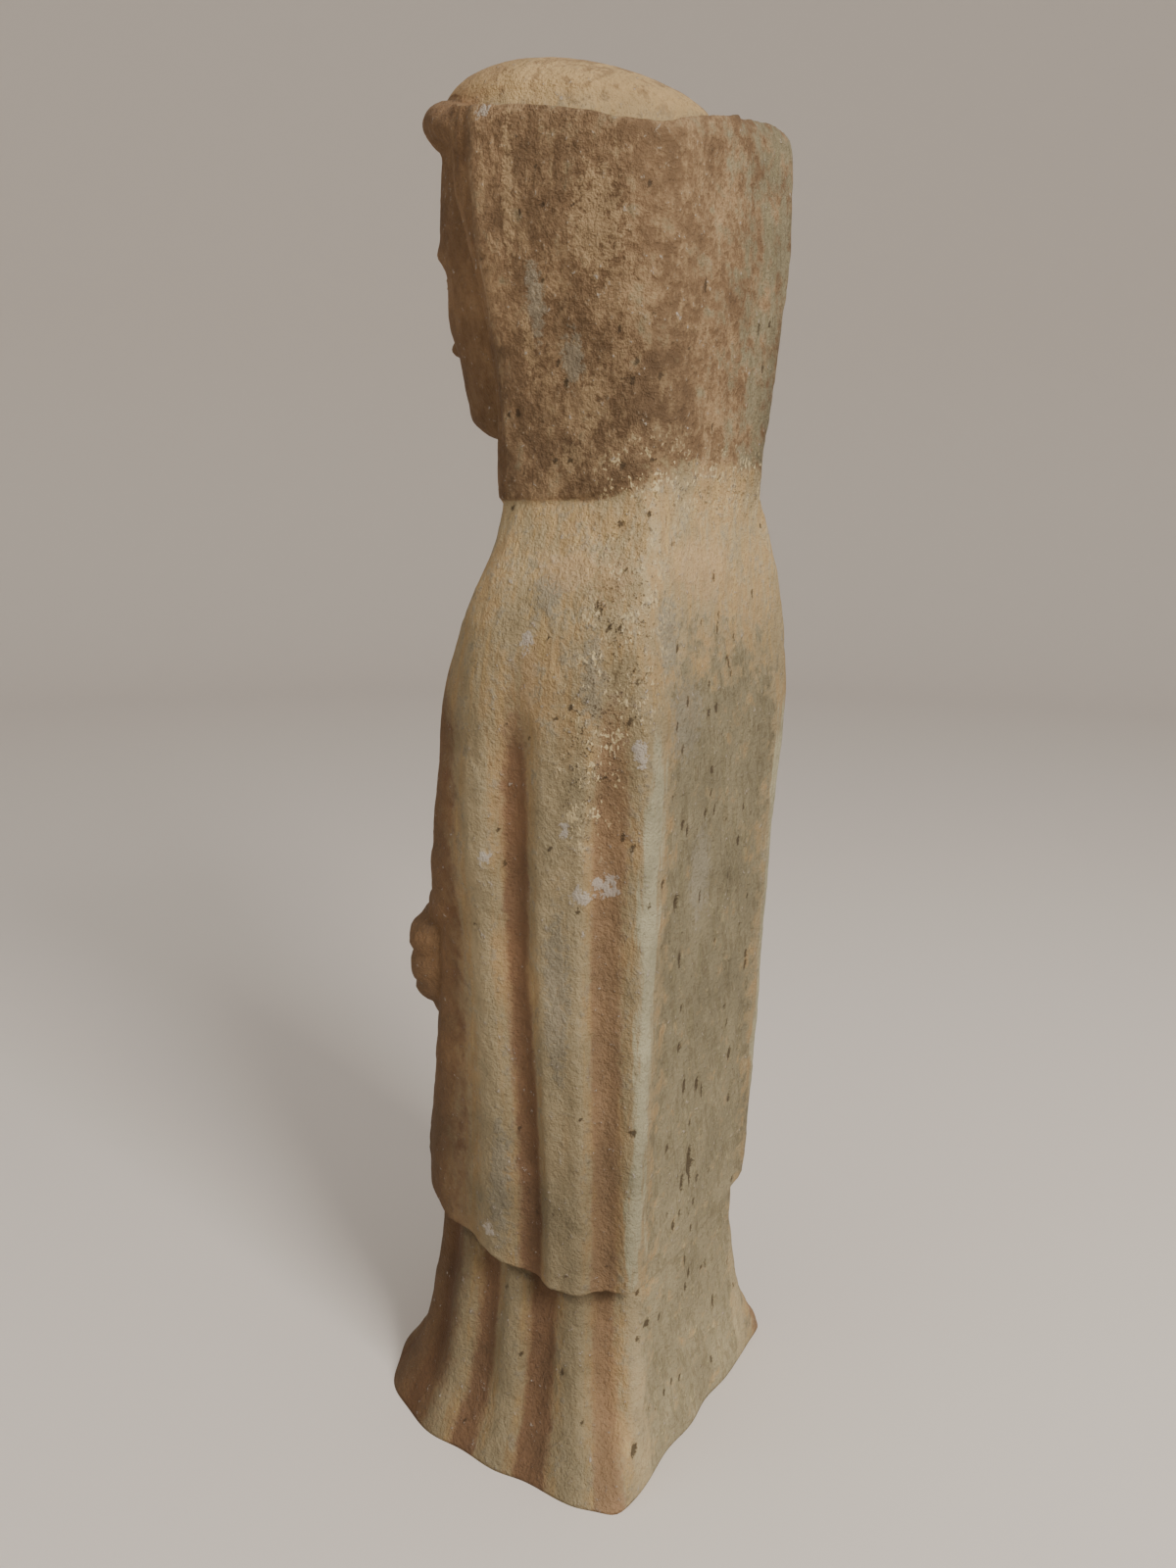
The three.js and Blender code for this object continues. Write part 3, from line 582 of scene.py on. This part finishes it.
def stone_tones(angle, x, z, row):
    """Masks over the surface that the stone's colours follow, each from 0 to 1; some of them paint light
    and shade into the colour.
    """
    side = np.abs(angle)
    top = row >= len(HEIGHTS)
    worn = rise(112, 150, side)
    nape = NAPE + 12 * worn
    on_head = rise(nape - 2 - 14 * worn, nape + 2 + 14 * worn, z) * rise(34, 44, side)
    on_head = np.where(top, 1.0, np.maximum(on_head, rise(CHIN - 16, CHIN - 8, z)))
    hem = between(MANTLE_HEM, angle)
    mantle = rise(hem - 1.2, hem + 1.2, z)
    high = fold_height(MANTLE_FOLDS, angle, 1 - rise(80, 230, z)) / 3.2 * (1 - rise(262, 335, z))
    low = fold_height(TUNIC_FOLDS, angle, 1 - rise(0, 90, z)) / 2.6
    fold = (high * mantle + low * (1 - mantle)) * (1 - on_head)
    body = 1 - on_head
    flat = rise(132, 152, side) * body * (1 - rise(280, 360, z))
    behind = rise(100, 125, side) * on_head * rise(40, -45, x)
    # Painted shade over the front, strongest on the figure's left, the side turned away from the light
    front = (1 - rise(52, 80, side)) * (0.55 + 0.45 * rise(10, 60, angle))
    foot = 1 - rise(15, 75, z)
    # Brightness that scales the colour: painted light and shade mixed with the stone's own lighter and
    # darker parts, lighter on the shoulder tops and the lower back, darker low on the front and sides and
    # on the lower head
    light = (
        0.5 + 0.07 * hump(z, 352, 34) * body - 0.09 * hump(z, 110, 50) * (1 - flat) * body
        + 0.08 * flat * (1 - rise(90, 190, z)) + 0.05 * foot * rise(108, 135, side)
        - 0.06 * (1 - rise(60, 90, z)) * (1 - rise(118, 135, side)) * body
        - 0.035 * on_head * (1 - rise(430, 480, z)) * hump(side, 128, 18)
        - 0.03 * body * hump(z, 240, 85) * (1 - flat)
        - 0.05 * on_head * (1 - rise(400, 450, z)) * (1 - rise(138, 160, side))
        + 0.04 * on_head * (1 - rise(75, 92, side)) * rise(70, 78, side)
        + 0.05 * top * (1 - rise(48, 76, side)) - 0.03 * rise(262, 330, z) * (1 - rise(330, 372, z)) * body
    )
    tones = {
        "light": light,
        "valley": np.clip(-fold, 0, 1),
        "crest": np.clip(fold * 1.6, 0, 1),
        "flat": np.maximum(flat, 0.75 * behind),
        "head": np.where(top, 0.0, on_head),
        "dome": np.where(top & (z > between(RIM, angle) + 1.5), 1.0, 0.0),
        # painted shade on the front of the body and on the front of the dome
        "painted_shade": np.maximum(front * body * (1 - rise(285, 335, z)), 0.9 * top * (1 - rise(48, 76, side))),
        # painted shade over the front of the head, the face and the hair beside it
        "head_front_shade": (1 - rise(LOCK_EDGE - 5, LOCK_EDGE, side)) * np.where(top, 0.0, on_head),
        # painted shadow just below the mantle's hem
        "under": hump(z, hem - 4, 5.5) * rise(20, 40, side) * (1 - rise(128, 140, side)),
        "corner": hump(side, 136.5, 4.0) * body * (1 - rise(270, 325, z)) * rise(60, 110, z),
        "tan": hump(side, 127, 11),
        "crumbly": np.maximum(
            np.maximum(
                hump(angle, 127, 13) * hump(z, 340, 42) + hump(angle, 118, 8) * hump(z, 285, 30),
                0.14 * on_head * rise(80, 100, side),
            ),
            0.7 * hump(z, NAPE + 6, 16) * rise(100, 130, side),
        ),
    }
    return {name: np.clip(tone, 0, 1) for name, tone in tones.items()}


def wear(points, tones):
    """How far the stone is worn in, in millimetres; adds the masks of pits and patches."""
    crumbly = tones["crumbly"]
    smooth = 1 - 0.6 * tones["dome"]
    depth = 0.4 * (rough(points, 17, 3) + 0.8) * smooth
    depth += 0.26 * rough(points, (6, 6, 10), 11) * smooth
    depth += (0.6 * crumbly + 0.16) * np.clip(rough(points, (3.2, 3.2, 4.2), 23) - 0.15, 0, 1) * 1.7
    depth += 0.4 * tones["flat"] * np.clip(rough(points, (3.4, 6, 15), 31, 2) - 0.15, 0, 1) * 1.6
    depth += 0.14 * rough(points, (3, 3, 14), 41, 2) * smooth
    pit = np.zeros(len(points))
    rng = np.random.default_rng(20)
    scattered = []
    while len(scattered) < 190:
        a = rng.uniform(70, 180) * rng.choice((1, 1, -1))
        h = rng.uniform(8, 490)
        likely = 0.10 + 0.8 * hump(abs(a), 128, 12) * hump(h, 320, 75) + 0.22 * (abs(a) > 140) * (h < 340)
        if rng.uniform() > likely:
            continue
        size = rng.uniform(0.35, 1.0)
        tall = size * (rng.uniform(1.4, 4.5) if abs(a) > 140 else rng.uniform(0.8, 1.8))
        scattered.append((a, h, size, tall, 0.6 * size))
    for a, h, wide, tall, deep in list(PITS) + scattered:
        mark = spot(points, surface_at(a, h), wide + 0.5, tall + 0.5)
        depth += deep * mark
        pit = np.maximum(pit, mark)
    tones["pit"] = pit
    for name, places in (("scuff", SCUFFS), ("pale", PALE_PATCHES), ("grey", GREY_PATCHES)):
        tones[name] = np.zeros(len(points))
        for a, h, wide, tall in places:
            tones[name] = np.maximum(tones[name], spot(points, surface_at(a, h), wide * 1.3, tall * 1.3))
    return depth


def statue_faces(rows, columns):
    a = np.arange((rows - 1) * columns).reshape(rows - 1, columns)
    b = np.roll(a, -1, axis=1)
    return np.stack([a, b, b + columns, a + columns], axis=-1).reshape(-1, 4)


def build_statue():
    x, y, z, angle, row = statue_points()
    rows, columns = x.shape
    normals = grid_normals(x, y, z).reshape(-1, 3)
    points = np.stack([x, y, z], axis=-1).reshape(-1, 3)
    shift = np.array([
        -(points[:, 0].min() + points[:, 0].max()) / 2,
        -(points[:, 1].min() + points[:, 1].max()) / 2,
        -points[:, 2].min(),
    ])
    tones = stone_tones(angle.ravel(), x.ravel(), z.ravel(), row.ravel())
    depth = wear(points, tones)
    depth *= rise(0.5, 6, points[:, 2])
    points = points - normals * depth[:, None]
    points = np.vstack([points, points[-columns:].mean(axis=0), points[:columns].mean(axis=0)])
    top = len(points) - 2
    bottom = len(points) - 1
    last = (rows - 1) * columns
    caps = []
    for i in range(columns):
        j = (i + 1) % columns
        caps.append((last + i, last + j, top))
        caps.append((j, i, bottom))
    mesh = bpy.data.meshes.new("statue_stone")
    mesh.from_pydata(((points + shift) * MM).tolist(), [], statue_faces(rows, columns).tolist() + caps)
    mesh.update()
    smooth = np.ones(len(mesh.polygons), bool)
    smooth[-2 * columns + 1 :: 2] = False
    mesh.polygons.foreach_set("use_smooth", smooth)
    for name, tone in tones.items():
        attribute = mesh.attributes.new(name, "FLOAT", "POINT")
        attribute.data.foreach_set("value", np.append(tone, (tone[-1], tone[0])).astype(np.float32))
    statue = bpy.data.objects.new("statue_stone", mesh)
    bpy.context.scene.collection.objects.link(statue)
    return statue, shift


def linear(red, green, blue):
    """A display colour, each part from 0 to 255, as scene light."""
    parts = [v / 255 for v in (red, green, blue)]
    return tuple(v / 12.92 if v <= 0.04045 else ((v + 0.055) / 1.055) ** 2.4 for v in parts) + (1,)


CREAM = linear(146, 131, 101)
WARM_CREAM = linear(143, 121, 88)
YELLOW = linear(162, 140, 98)
GREY = linear(128, 122, 106)
HEAD_BROWN = linear(106, 84, 61)
HEAD_MIDDLE = linear(121, 98, 73)
HEAD_PALE = linear(141, 118, 89)
OLIVE = linear(118, 110, 88)
OLIVE_PALE = linear(148, 142, 112)
OLIVE_DARK = linear(98, 89, 69)
RED_BROWN = linear(108, 80, 59)
TAN = linear(126, 102, 77)
ORANGE = linear(136, 108, 80)
CREST = linear(142, 130, 103)
PALE_GREEN = linear(154, 150, 125)
# Painted shade colour for the front of the body
PAINTED_SHADE_BROWN = linear(102, 75, 52)
# Painted shade colour for the front of the head
HEAD_FRONT_SHADE_BROWN = linear(108, 82, 57)
DOME_CREAM = linear(168, 142, 102)
# Brown for the dome's stains, also used for its painted shade
DOME_STAIN_AND_SHADE = linear(126, 103, 74)
DARK = linear(60, 48, 34)
# Pale colour for chipped stone, with painted glints of light on the chips
PALE_CHIP_AND_GLINT = linear(176, 160, 124)
SCUFF = linear(160, 154, 146)
PALE_PATCH = linear(154, 131, 99)


class Shading:
    """Short names for the node connections of one material."""

    def __init__(self, material):
        material.use_nodes = True
        self.tree = material.node_tree
        self.shader = self.tree.nodes["Principled BSDF"]
        self.place = self.tree.nodes.new("ShaderNodeTexCoord").outputs["Object"]

    def put(self, socket, value):
        if isinstance(value, bpy.types.NodeSocket):
            self.tree.links.new(value, socket)
        else:
            socket.default_value = value

    def noise(self, size, detail=4.0, roughness=0.55, shift=0.0, lean=0.0):
        """Noise with lumps of size millimetres, one size or three, leaning over in degrees."""
        sizes = size if isinstance(size, tuple) else (size, size, size)
        turned = self.tree.nodes.new("ShaderNodeMapping")
        self.put(turned.inputs["Vector"], self.place)
        turned.inputs["Rotation"].default_value = (0, math.radians(lean), 0)
        mapping = self.tree.nodes.new("ShaderNodeMapping")
        self.put(mapping.inputs["Vector"], turned.outputs["Vector"])
        mapping.inputs["Scale"].default_value = tuple(1000 / s for s in sizes)
        mapping.inputs["Location"].default_value = (shift, shift * 0.7, shift * 1.3)
        texture = self.tree.nodes.new("ShaderNodeTexNoise")
        self.put(texture.inputs["Vector"], mapping.outputs["Vector"])
        texture.inputs["Scale"].default_value = 1.0
        texture.inputs["Detail"].default_value = detail
        texture.inputs["Roughness"].default_value = roughness
        return texture.outputs["Fac"]

    def tone(self, name):
        node = self.tree.nodes.new("ShaderNodeAttribute")
        node.attribute_name = name
        return node.outputs["Fac"]

    def math(self, kind, a, b=0.0):
        node = self.tree.nodes.new("ShaderNodeMath")
        node.operation = kind
        self.put(node.inputs[0], a)
        self.put(node.inputs[1], b)
        return node.outputs[0]

    def step(self, value, start, end, low=0.0, high=1.0):
        node = self.tree.nodes.new("ShaderNodeMapRange")
        node.interpolation_type = "SMOOTHSTEP"
        self.put(node.inputs["Value"], value)
        node.inputs["From Min"].default_value = start
        node.inputs["From Max"].default_value = end
        node.inputs["To Min"].default_value = low
        node.inputs["To Max"].default_value = high
        return node.outputs["Result"]

    def both(self, a, b):
        return self.math("MULTIPLY", a, b)

    def broken(self, mask, grain, amount=0.5):
        """A mask whose edge is broken up by noise."""
        return self.math("ADD", mask, self.both(self.math("SUBTRACT", grain, 0.5), amount * 2))

    def mix(self, share, a, b):
        node = self.tree.nodes.new("ShaderNodeMix")
        node.data_type = "RGBA"
        node.clamp_factor = True
        self.put(node.inputs["Factor"], share)
        self.put(node.inputs[6], a)
        self.put(node.inputs[7], b)
        return node.outputs[2]


def stone_material():
    stone = bpy.data.materials.new("stone")
    n = Shading(stone)
    broad = n.noise(24, 2, 0.6)
    patchy = n.noise(8, 3, 0.66, 3.1)
    ragged = n.noise(2.6, 3, 0.7, 7.7)
    grain = n.noise(0.8, 1, 0.6, 5.2)
    streak = n.noise((3.2, 3.2, 26), 3, 0.66, 1.4)
    scratch = n.noise((3.2, 5, 15), 2, 0.66, 9.3, -13)
    valley, crest = n.tone("valley"), n.tone("crest")
    flat, head, dome = n.tone("flat"), n.tone("head"), n.tone("dome")
    crumbly = n.tone("crumbly")

    colour = n.mix(n.step(n.broken(broad, streak, 0.5), 0.35, 0.65), CREAM, WARM_CREAM)
    colour = n.mix(n.step(n.broken(patchy, ragged, 0.5), 0.5, 0.7, 0, 0.6), colour, GREY)
    colour = n.mix(n.step(n.broken(streak, ragged, 0.3), 0.52, 0.68, 0, 0.6), colour, YELLOW)
    brown = n.mix(n.step(n.broken(patchy, ragged, 0.4), 0.34, 0.64), HEAD_BROWN, HEAD_MIDDLE)
    brown = n.mix(n.step(n.broken(broad, ragged, 0.5), 0.44, 0.7, 0, 0.8), brown, HEAD_PALE)
    brown = n.mix(n.step(n.broken(streak, patchy, 0.5), 0.54, 0.72, 0, 0.45), brown, PALE_PATCH)
    colour = n.mix(n.step(n.broken(head, patchy, 0.9), 0.35, 0.65), colour, brown)
    olive = n.mix(n.step(n.broken(scratch, ragged, 0.2), 0.54, 0.68), OLIVE, OLIVE_PALE)
    olive = n.mix(n.step(n.broken(patchy, scratch, 0.8), 0.52, 0.68, 0, 0.75), olive, OLIVE_DARK)
    colour = n.mix(n.step(n.broken(flat, patchy, 1.5), 0.2, 0.9), colour, olive)
    colour = n.mix(n.step(n.broken(crest, streak, 0.8), 0.35, 0.9, 0, 0.8), colour, CREST)
    corner = n.step(n.broken(n.tone("corner"), streak, 1.0), 0.4, 0.8, 0, 0.85)
    colour = n.mix(corner, colour, PALE_GREEN)
    colour = n.mix(n.step(n.broken(n.tone("grey"), ragged, 1.3), 0.35, 0.8, 0, 0.65), colour, GREY)
    edge = n.step(n.broken(valley, ragged, 0.7), 0.12, 0.5)
    colour = n.mix(n.both(edge, 0.55), colour, ORANGE)
    deep = n.step(n.broken(valley, patchy, 0.6), 0.3, 0.75)
    colour = n.mix(n.both(deep, 0.8), colour, n.mix(n.tone("tan"), RED_BROWN, TAN))
    # Painted shade: the front of the body turns brown
    colour = n.mix(n.step(n.broken(n.tone("painted_shade"), patchy, 0.5), 0.2, 0.8, 0, 0.85), colour, PAINTED_SHADE_BROWN)
    # Painted shade: the front of the head, face and hair beside it, turns brown
    colour = n.mix(n.step(n.broken(n.tone("head_front_shade"), ragged, 0.3), 0.3, 0.7, 0, 0.7), colour, HEAD_FRONT_SHADE_BROWN)
    crown = n.mix(n.step(n.broken(broad, patchy, 0.8), 0.47, 0.68, 0, 0.85), DOME_CREAM, DOME_STAIN_AND_SHADE)
    # Painted shade: the dome's front is darkened towards brown
    crown = n.mix(n.both(n.tone("painted_shade"), 0.7), crown, DOME_STAIN_AND_SHADE)
    colour = n.mix(dome, colour, crown)
    colour = n.mix(n.step(n.broken(n.tone("pale"), ragged, 1.4), 0.45, 0.85, 0, 0.7), colour, PALE_PATCH)
    # The colour is scaled by the brightness: painted light and shade, with broad random unevenness of tone
    scaled = n.tree.nodes.new("ShaderNodeVectorMath")
    scaled.operation = "SCALE"
    n.put(scaled.inputs[0], colour)
    uneven = n.broken(n.both(n.math("SUBTRACT", broad, 0.5), 3.2), patchy, 1.2)
    level = n.both(n.math("POWER", n.tone("light"), 2.0), n.math("ADD", uneven, 4.0))
    n.put(scaled.inputs["Scale"], level)
    colour = scaled.outputs["Vector"]
    # Painted shadow: a dark band just below the mantle's hem
    colour = n.mix(n.step(n.broken(n.tone("under"), ragged, 0.4), 0.35, 0.9, 0, 0.45), colour, DARK)
    speck = n.step(n.broken(grain, ragged, 0.6), 0.6, 0.78)
    colour = n.mix(n.both(speck, n.math("ADD", 0.22, n.both(crumbly, 0.6))), colour, DARK)
    # Pale dots in the crumbly parts: chipped stone, with painted highlights on their edges
    chip_and_glint = n.step(n.broken(n.noise((1.2, 1.2, 1.9), 1, 0.6, 12.0), patchy, 0.5), 0.62, 0.72)
    colour = n.mix(n.both(chip_and_glint, n.step(crumbly, 0.05, 0.7)), colour, PALE_CHIP_AND_GLINT)
    colour = n.mix(n.step(n.broken(n.tone("scuff"), ragged, 1.6), 0.45, 0.75, 0, 0.65), colour, SCUFF)
    # Painted shade: the pits are darkened inside
    colour = n.mix(n.step(n.broken(n.tone("pit"), grain, 0.4), 0.25, 0.6, 0, 0.8), colour, DARK)
    n.put(n.shader.inputs["Base Color"], colour)
    n.shader.inputs["Roughness"].default_value = 0.85
    n.shader.inputs["Specular IOR Level"].default_value = 0.25

    height = n.math("ADD", n.both(grain, 0.4), n.both(ragged, 1.7))
    bump = n.tree.nodes.new("ShaderNodeBump")
    bump.inputs["Strength"].default_value = 0.75
    bump.inputs["Distance"].default_value = 1.5 * MM
    n.put(bump.inputs["Height"], height)
    n.put(n.shader.inputs["Normal"], bump.outputs["Normal"])
    return stone


def add_camera(shift):
    data = bpy.data.cameras.new("camera")
    data.sensor_width = SENSOR
    data.lens = SENSOR * FOCAL_PIXELS / IMAGE_HEIGHT
    camera = bpy.data.objects.new("camera", data)
    bpy.context.scene.collection.objects.link(camera)
    yaw = math.radians(CAMERA_AZIMUTH)
    pitch = math.radians(CAMERA_PITCH)
    look = Vector((-math.sin(yaw) * math.cos(pitch), math.cos(yaw) * math.cos(pitch), -math.sin(pitch)))
    turn = look.to_track_quat("-Z", "Y").to_matrix().to_4x4()
    roll = Matrix.Rotation(math.radians(CAMERA_ROLL), 4, "Z")
    place = Matrix.Translation((Vector(CAMERA_AT) + Vector(shift)) * MM)
    camera.matrix_world = place @ turn @ roll
    bpy.context.scene.camera = camera


def add_light(name, at, size, power, colour):
    data = bpy.data.lights.new(name, "AREA")
    data.size = size
    data.energy = power
    data.color = colour
    lamp = bpy.data.objects.new(name, data)
    bpy.context.scene.collection.objects.link(lamp)
    lamp.location = at
    aim = Vector((0, 0, 0.28)) - Vector(at)
    lamp.rotation_euler = aim.to_track_quat("-Z", "Y").to_euler()


# Pale floor that curves up into a round wall, in metres
FLOOR_RADIUS = 2.2
CURVE_RADIUS = 0.9
WALL_TOP = 3.2
FLOOR_SEGMENTS = 96
FLOOR_COLOUR = (0.70, 0.65, 0.60, 1)


def add_stage():
    profile = [(0.05, 0.0), (FLOOR_RADIUS, 0.0)]
    for i in range(1, 13):
        turn = math.pi / 2 * i / 12
        out = FLOOR_RADIUS + CURVE_RADIUS * math.sin(turn)
        profile.append((out, CURVE_RADIUS * (1 - math.cos(turn))))
    profile.append((FLOOR_RADIUS + CURVE_RADIUS, WALL_TOP))
    points = []
    for reach, height in profile:
        for i in range(FLOOR_SEGMENTS):
            turn = 2 * math.pi * i / FLOOR_SEGMENTS
            points.append((reach * math.sin(turn), reach * math.cos(turn), height))
    faces = [tuple(range(FLOOR_SEGMENTS - 1, -1, -1))]
    for ring in range(len(profile) - 1):
        for i in range(FLOOR_SEGMENTS):
            a = ring * FLOOR_SEGMENTS + i
            b = ring * FLOOR_SEGMENTS + (i + 1) % FLOOR_SEGMENTS
            faces.append((b, a, a + FLOOR_SEGMENTS, b + FLOOR_SEGMENTS))
    mesh = bpy.data.meshes.new("floor")
    mesh.from_pydata(points, [], faces)
    mesh.polygons.foreach_set("use_smooth", [len(p.vertices) == 4 for p in mesh.polygons])
    floor = bpy.data.objects.new("floor", mesh)
    bpy.context.scene.collection.objects.link(floor)
    material = bpy.data.materials.new("floor")
    material.use_nodes = True
    nodes = material.node_tree.nodes
    nodes.remove(nodes["Principled BSDF"])
    matt = nodes.new("ShaderNodeBsdfDiffuse")
    matt.inputs["Color"].default_value = FLOOR_COLOUR
    material.node_tree.links.new(matt.outputs["BSDF"], nodes["Material Output"].inputs["Surface"])
    floor.data.materials.append(material)
    world = bpy.data.worlds.new("studio")
    bpy.context.scene.world = world
    world.use_nodes = True
    background = world.node_tree.nodes["Background"]
    background.inputs["Color"].default_value = (0.95, 0.93, 0.90, 1)
    background.inputs["Strength"].default_value = 0.7


statue, shift = build_statue()
add_camera(shift)
add_stage()
add_light("key", (0.55, 1.30, 1.15), 0.55, 34, (1.0, 0.95, 0.88))
add_light("fill", (1.4, -0.6, 0.7), 1.2, 4, (1.0, 0.97, 0.93))

statue.data.materials.append(stone_material())
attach(statue, "root")
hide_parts(NODE)
